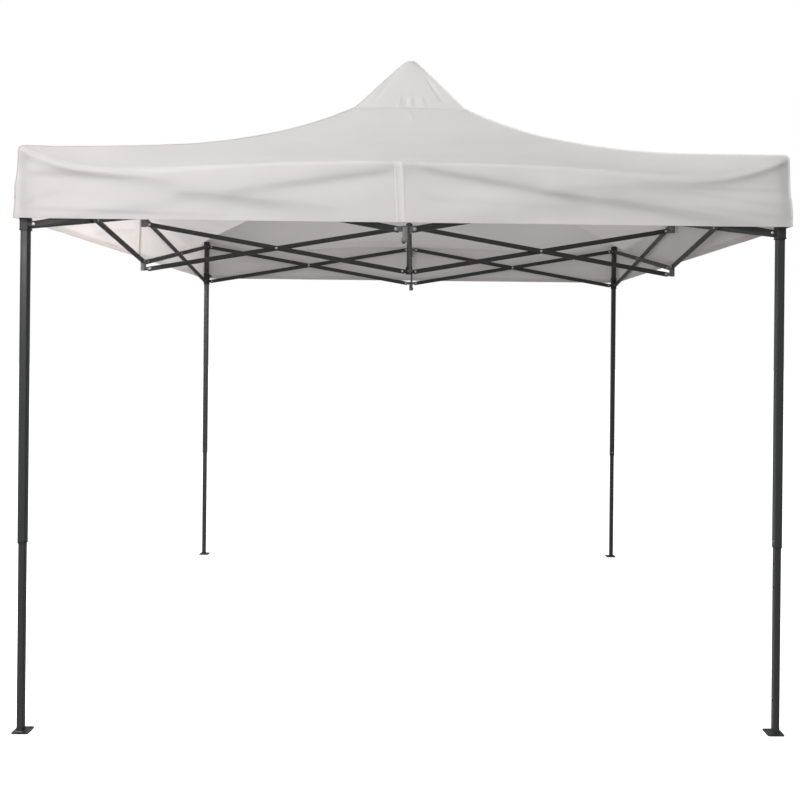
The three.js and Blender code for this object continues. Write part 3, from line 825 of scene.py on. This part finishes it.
def draped_sheet(quarter):
    """The front sheet with one side's folds, still in the front side's place."""
    points, lifts = base_sheet()
    x, r, z = points[..., 0], -points[..., 1], points[..., 2]
    s = x / r
    valance_folds, roof_folds = side_folds(quarter)
    inside = 1 - smooth(np.abs(s), 0.975, 1.0)
    amount = np.zeros_like(x)
    roof_share, valance_share = lifts[..., 2], 1 - lifts[..., 2]
    for fold in roof_folds:
        amount += roof_share * inside * fold_ridge(x, r, *fold)
    for fold in valance_folds:
        amount += valance_share * inside * fold_ridge(x, z, *fold)
    flat = turned_points(points, quarter).reshape(-1, 3)
    broad = ripple(flat, 0.42, 3).reshape(x.shape)
    small = ripple(flat, 0.11, 8).reshape(x.shape)
    level = ripple(flat * (1, 1, 3.2), 0.30, 5).reshape(x.shape)
    near_seam = smooth(r, HOOD_HALF, HOOD_HALF + 0.08)
    amount += roof_share * near_seam * (ROOF_WAVE * broad + ROOF_CRUMPLE * small)
    amount += valance_share * (VALANCE_WAVE * level + VALANCE_CRUMPLE * small)
    # near the corners the valance waves from its top to its hem, and stands out towards the hem
    wave = smooth(np.abs(s), 0.93, 1.0) * np.sin(np.clip((z - HEM_Z) / 0.28, 0, 1) * 5.2 + 0.6)
    below = np.clip((CORNER_Z - z) / (CORNER_Z - HEM_Z), 0, 1)
    flare = smooth(np.abs(s), 0.88, 1.0) * below**1.3
    amount += valance_share * (CORNER_WAVE * wave + CORNER_FLARE * flare)
    # towards each corner the roof's edge hangs over the valance as a soft lip
    lip = smooth(np.abs(s), 0.66, 0.80) * (1 - smooth(np.abs(s), 0.975, 1.0))
    down = roof_height(EAVE, s) - z
    amount += valance_share * LIP_REACH * lip * np.exp(-(((down - LIP_WIDTH) / LIP_WIDTH) ** 2))
    # the brackets and bars behind the sheet hold it out
    at_bracket = np.maximum(smooth(np.abs(x), 1.36, 1.42), 1 - smooth(np.abs(x), 0.05, 0.14))
    held = AT_BARS + (AT_BRACKETS - AT_BARS) * at_bracket
    pushed = (amount + held + np.sqrt((amount - held) ** 2 + HELD_SOFTLY**2)) / 2
    amount = np.where(r > 1.2, amount + (pushed - amount) * smooth(r, 1.2, 1.4), amount)
    return points + lifts * amount[..., None]


def grid_normals(points):
    """A unit normal for each point of a grid of rows and columns, outwards."""
    normal = np.cross(np.gradient(points, axis=0), np.gradient(points, axis=1))
    return normal / (np.linalg.norm(normal, axis=-1, keepdims=True) + 1e-12)


def grid_mesh(name, points, material, normals=None, uv=None):
    """A sheet from rows and columns of points, with UV in metres unless given."""
    rows, columns = points.shape[:2]
    index = np.arange(rows * columns).reshape(rows, columns)
    faces = np.stack([index[:-1, :-1], index[1:, :-1], index[1:, 1:], index[:-1, 1:]], -1).reshape(-1, 4)
    mesh = bpy.data.meshes.new(name)
    mesh.from_pydata(points.reshape(-1, 3).tolist(), [], faces.tolist())
    mesh.materials.append(material)
    if uv is None:
        uv = np.zeros((rows, columns, 2))
        uv[:, 1:, 0] = np.cumsum(np.linalg.norm(np.diff(points, axis=1), axis=-1), axis=1)
        uv[1:, :, 1] = np.cumsum(np.linalg.norm(np.diff(points, axis=0), axis=-1), axis=0)
    layer = mesh.uv_layers.new(name="cloth")
    layer.data.foreach_set("uv", uv.reshape(-1, 2)[faces.reshape(-1)].astype(np.float32).ravel())
    mesh.shade_smooth()
    if normals is not None:
        mesh.normals_split_custom_set_from_vertices(normals.reshape(-1, 3).tolist())
    return mesh


HEM_ROWS, HEM_THICK = 4, 0.0022  # rows of the hem's inner layer, and its distance from the outer


def hemmed(valance, normals):
    """The valance with its hem turned up inside: rows go round the edge and back up."""
    last, inward = valance[-1], -normals[-1]
    spacing = valance[-1] - valance[-2]
    down = spacing / np.linalg.norm(spacing, axis=-1, keepdims=True)
    half = HEM_THICK / 2
    edge = [last + inward * half * (1 - math.cos(a)) + down * half * math.sin(a)
            for a in (0.8, 1.57, 2.3, math.pi)]
    inner = last + inward * HEM_THICK
    back = [inner - down * HEM_DEPTH * share for share in (0.35, 0.7, 0.96)]
    back.append(last - down * HEM_DEPTH + inward * HEM_THICK * 0.3)
    return np.concatenate([valance, np.array(edge + back)])


HOOD_ROWS, HOOD_COLUMNS = 44, 72
LAP, CORNER_LAP, LAP_LIFT = 0.005, 0.020, 0.0022  # of the hood over the roof's upper edge
TIP_Z, TIP_REACH, TIP_CURVE = PEAK_Z - 0.0075, 0.06, 0.14  # it runs on straight beyond its reach
PUCKER, PUCKER_AT, PUCKER_WIDTH = 0.009, 0.252, 0.024  # gathers above the hood's seam


def hood_points(quarter):
    """The peak hood's front gore, from a seam that laps over the roof up to a rounded tip."""
    dice = random.Random(90 + quarter)
    s = np.linspace(-1, 1, HOOD_COLUMNS + 1)
    slope = 1.360 - 0.070 * s**2
    middle = dice.uniform(-0.2, 0.2) if quarter else 0.07
    spans = ((-0.32, 0.32), (0.022, 0.040), (-PUCKER, PUCKER))
    gathers = [[dice.uniform(*span) for span in spans] for _ in range(11)]
    puckers = sum(
        height * np.exp(-(((s - middle - aside) / width) ** 2)) for aside, width, height in gathers
    )
    points = []
    for i in range(HOOD_ROWS + 1):
        t = i / HOOD_ROWS
        r = (HOOD_HALF + LAP + CORNER_LAP * np.abs(s) ** 3) * (1 - t) + 0.0004 * t
        roundness = smooth(np.float64(t), 0.75, 0.95)
        reach = r * ((1 - roundness) + roundness / np.sqrt(1 + s**2))
        x, y = s * reach, -reach
        climb = np.clip((HOOD_HALF - r) / HOOD_HALF, 0, 1)
        cone = HOOD_Z + slope * (HOOD_HALF - r)
        cone += LAP_LIFT * (1 - climb) - 0.008 * np.sin(math.pi * climb) * (1 - s**2)
        # a crease beside each hip, from the seam halfway up
        beside_hip = np.exp(-(((np.abs(s + 0.04) - 0.74) / 0.06) ** 2))
        cone -= 0.006 * smooth(climb, 0.05, 0.2) * (1 - smooth(climb, 0.4, 0.65)) * beside_hip
        out = np.hypot(x, y)
        tip = TIP_Z - np.minimum(out, TIP_REACH) ** 2 / TIP_CURVE
        tip -= 2 * TIP_REACH / TIP_CURVE * np.maximum(out - TIP_REACH, 0)
        blend = np.maximum(0.010 - np.abs(cone - tip), 0) / 0.010
        cone = np.minimum(cone, tip) - 0.0025 * blend**2 * smooth(climb, 0.0, 0.3)
        cone += puckers * np.exp(-(((r - PUCKER_AT) / PUCKER_WIDTH) ** 2)) * (1 - s**8)
        z = np.where(r > HOOD_HALF, roof_height(r, s) + LAP_LIFT, cone)
        points.append(np.stack([x, y, z], -1))
    return np.array(points)


def tube_along(path, radius):
    """A thin round roll along a path of points, as a loft."""
    path = [Vector(p) for p in path]
    rings = []
    for i, p in enumerate(path):
        ahead = (path[min(i + 1, len(path) - 1)] - path[max(i - 1, 0)]).normalized()
        side = ahead.cross(Vector((0, 0, 1)))
        if side.length < 1e-3:
            side = ahead.cross(Vector((1, 1, 0)))
        side.normalize()
        up = side.cross(ahead)
        angles = [math.pi / 4 * k for k in range(8)]
        rings.append([tuple(p + radius * (math.cos(a) * side + math.sin(a) * up)) for a in angles])
    return loft(rings)


def welt(name, path, radius, body, squash_axis=None):
    """Piping sewn into a seam."""
    mesh = Form().add(tube_along(path, radius), TAPE).mesh(name)
    made = piece(name, mesh, Matrix(), body)
    if squash_axis is not None:
        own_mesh(made)
    return made


def build_fabric():
    base, _ = base_sheet()
    for quarter, (name, _, _) in enumerate(SIDES):
        tangent = turned_points(np.array([1.0, 0.0, 0.0]), quarter)
        sheet = draped_sheet(quarter)
        normals = grid_normals(sheet)
        world, world_normals = turned_points(sheet, quarter), turned_points(normals, quarter)

        upper = slice(SEAM_ROW + 1)
        roof_mesh = grid_mesh(f"roof_{name}", world[upper], FABRIC, world_normals[upper])
        node = f"canopy_{name}"
        roof = piece(f"roof_{name}", roof_mesh, Matrix(), node, [node])
        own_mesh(roof)

        hem = hemmed(sheet[SEAM_ROW:], normals[SEAM_ROW:])
        hem_normals = grid_normals(hem)
        hem_normals[: len(sheet) - SEAM_ROW - 1] = normals[SEAM_ROW:-1]
        valance_mesh = grid_mesh(
            f"valance_{name}", turned_points(hem, quarter), FABRIC, turned_points(hem_normals, quarter)
        )
        valance_mesh.materials.append(HEM_LINING)
        for face in list(valance_mesh.polygons)[-HEM_ROWS * COLUMNS :]:
            face.material_index = 1
        valance = piece(f"valance_{name}", valance_mesh, Matrix(), f"middle_upper_{name}")
        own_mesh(valance)

        extras = seams(quarter, name, sheet, normals, tangent)
    build_hood()


def strip(name, centre_line, normals, body, axis):
    """Tape along a line of points and 2 * half wide along axis, with a raised band at each edge."""
    half, gap, lift = 0.018, 0.0003, 0.0007
    profile = ((0, 0), (0.03, 1), (0.15, 1), (0.19, 0.3), (0.5, 0.2))
    profile += ((0.81, 0.3), (0.85, 1), (0.97, 1), (1, 0))
    grid = np.array([centre_line + axis * half * (2 * share - 1) + normals * (gap + lift * height)
                     for share, height in profile])
    length = np.concatenate([[0], np.cumsum(np.linalg.norm(np.diff(centre_line, axis=0), axis=-1))])
    shares = np.array([share for share, _ in profile])
    uv = np.stack(np.broadcast_arrays(length[None, :], shares[:, None]), -1)
    made = piece(name, grid_mesh(name, grid, TAPE, None, uv), Matrix(), body)
    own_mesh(made)
    return made


def seams(quarter, name, sheet, normals, tangent):
    """Piping along the hips, the eave and the corners, and tape over the valance's middle seam."""
    place = lambda rows: turned_points(rows, quarter)
    upper, roof_body = f"middle_upper_{name}", f"canopy_{name}"
    hip = sheet[: SEAM_ROW + 1, 0] + (0, 0, 0.0012)
    corner = sheet[SEAM_ROW:, 0] + np.array((-0.0010, -0.0010, 0.0))
    eave = sheet[SEAM_ROW]
    made = {
        "roof": [welt(f"hip_piping_{name}", place(hip), 0.0030, roof_body, tangent)],
        "valance": [
            welt(f"corner_piping_{name}", place(corner), 0.0030, upper, tangent),
            welt(f"eave_piping_{name}", place(eave), 0.0009, upper, tangent),
        ],
    }
    # the tape starts just over the eave and runs a little aslant
    rows = range(SEAM_ROW - 2, len(sheet))
    spots = np.linspace(-0.030, -0.015, len(rows))
    line, lifts = [
        np.array([[np.interp(x, sheet[row, :, 0], grid[row, :, axis]) for axis in range(3)]
                  for row, x in zip(rows, spots)])
        for grid in (sheet, normals)
    ]
    made["valance"].append(strip(f"middle_tape_{name}", place(line), place(lifts), upper, tangent))
    return made


def build_hood():
    """The hood that covers the peak: four gores in one sheet, and the piping on its hips."""
    grids = [turned_points(hood_points(quarter), quarter) for quarter in range(4)]
    around = np.concatenate([grid[:, :-1] for grid in grids] + [grids[0][:, :1]], axis=1)
    mesh = grid_mesh("peak_hood", around[::-1, ::-1], FABRIC)
    work = bmesh.new()
    work.from_mesh(mesh)
    bmesh.ops.remove_doubles(work, verts=work.verts, dist=0.0003)
    bmesh.ops.recalc_face_normals(work, faces=work.faces)
    if sum(face.normal.z for face in work.faces) < 0:
        bmesh.ops.reverse_faces(work, faces=work.faces)
    work.to_mesh(mesh)
    work.free()
    mesh.shade_smooth()
    hood = piece("peak_hood", mesh, Matrix(), "peak_pole")
    for quarter, (name, _, _) in enumerate(SIDES):
        path = grids[quarter][:-3, 0] + (0, 0, 0.0010)
        welt(f"hood_piping_{name}", path, 0.0026, "peak_pole")
    welt("hood_seam", around[1] + (0, 0, 0.0006), 0.0012, "peak_pole")


# ---------------------------------------------------------------- stage, light and camera


def build_stage():
    """A pale floor. It takes no part in the object's own light, which the studio gives."""
    paint = Paint("stage_white", (0.86, 0.86, 0.86), 0.9)
    paint.set("Specular IOR Level", 0.0)
    paint.set("Emission Color", (1.0, 1.0, 1.0, 1.0))
    paint.set("Emission Strength", 1.0)
    mesh = Form().add(block(120, 120, -0.02, 0.0, 0.01, 0.001), paint.material).mesh("floor")
    floor = bpy.data.objects.new("floor", mesh)
    bpy.context.scene.collection.objects.link(floor)
    floor.location.z = -0.0005
    floor.visible_diffuse = floor.visible_glossy = floor.visible_transmission = False


def area_light(name, spot, target, size, power, color):
    data = bpy.data.lights.new(name, "AREA")
    data.shape, data.size, data.energy, data.color = "SQUARE", size, power, color
    lamp = bpy.data.objects.new(name, data)
    bpy.context.scene.collection.objects.link(lamp)
    lamp.location = spot
    lamp.visible_camera = False
    lamp.rotation_euler = (Vector(target) - Vector(spot)).to_track_quat("-Z", "Y").to_euler()


SKY_LEVEL = 0.42
SKY_SLOPE = (-0.17, -0.04, -0.08)  # change of the sky's light along X, Y and Z


def studio_sky(world):
    """White to look at; as light it is brighter from the left, the front and below."""
    nodes, links = world.node_tree.nodes, world.node_tree.links
    sky, backdrop = nodes["Background"], nodes.new("ShaderNodeBackground")
    split = nodes.new("ShaderNodeSeparateXYZ")
    links.new(nodes.new("ShaderNodeTexCoord").outputs["Generated"], split.inputs[0])
    level = None
    for axis, share in enumerate(SKY_SLOPE):
        term = nodes.new("ShaderNodeMath")
        term.operation = "MULTIPLY_ADD"
        links.new(split.outputs[axis], term.inputs[0])
        term.inputs[1].default_value, term.inputs[2].default_value = share, SKY_LEVEL
        if level:
            links.new(level, term.inputs[2])
        level = term.outputs[0]
    links.new(level, sky.inputs["Strength"])
    backdrop.inputs["Color"].default_value = (1.0, 1.0, 1.0, 1.0)
    seen, mix = nodes.new("ShaderNodeLightPath"), nodes.new("ShaderNodeMixShader")
    links.new(seen.outputs["Is Camera Ray"], mix.inputs[0])
    links.new(sky.outputs[0], mix.inputs[1])
    links.new(backdrop.outputs[0], mix.inputs[2])
    links.new(mix.outputs[0], nodes["World Output"].inputs["Surface"])


def build_light():
    world = bpy.data.worlds.new("studio")
    bpy.context.scene.world = world
    world.use_nodes = True
    world.node_tree.nodes["Background"].inputs["Color"].default_value = (1.0, 1.0, 1.0, 1.0)
    studio_sky(world)
    daylight, warm = (1.0, 0.99, 0.98), (1.0, 0.96, 0.94)
    area_light("key", (-3.0, -5.5, 6.8), (0.2, -0.8, 2.2), 1.5, 425, daylight)
    area_light("left", (-3.6, -0.9, 2.5), (-1.4, -0.7, 2.1), 0.9, 60, warm)
    area_light("front_left", (-3.0, -5.3, 2.7), (-1.2, -1.4, 1.9), 0.9, 40, daylight)
    bpy.context.scene.view_settings.view_transform = "Standard"


def build_camera():
    data = bpy.data.cameras.new("camera")
    data.lens, data.sensor_width = 39.75, 36.0
    data.shift_x, data.shift_y = -0.039, -0.066
    camera = bpy.data.objects.new("camera", data)
    bpy.context.scene.collection.objects.link(camera)
    camera.matrix_world = at(0.050, -4.882, 1.493) @ turn(-0.908) @ turn(-0.565, "Y") @ turn(90, "X")
    bpy.context.scene.camera = camera


build_centre()
for quarter, (name, left, right) in enumerate(SIDES):
    build_side(quarter, name, left, right)
build_fabric()
build_stage()
build_light()
build_camera()
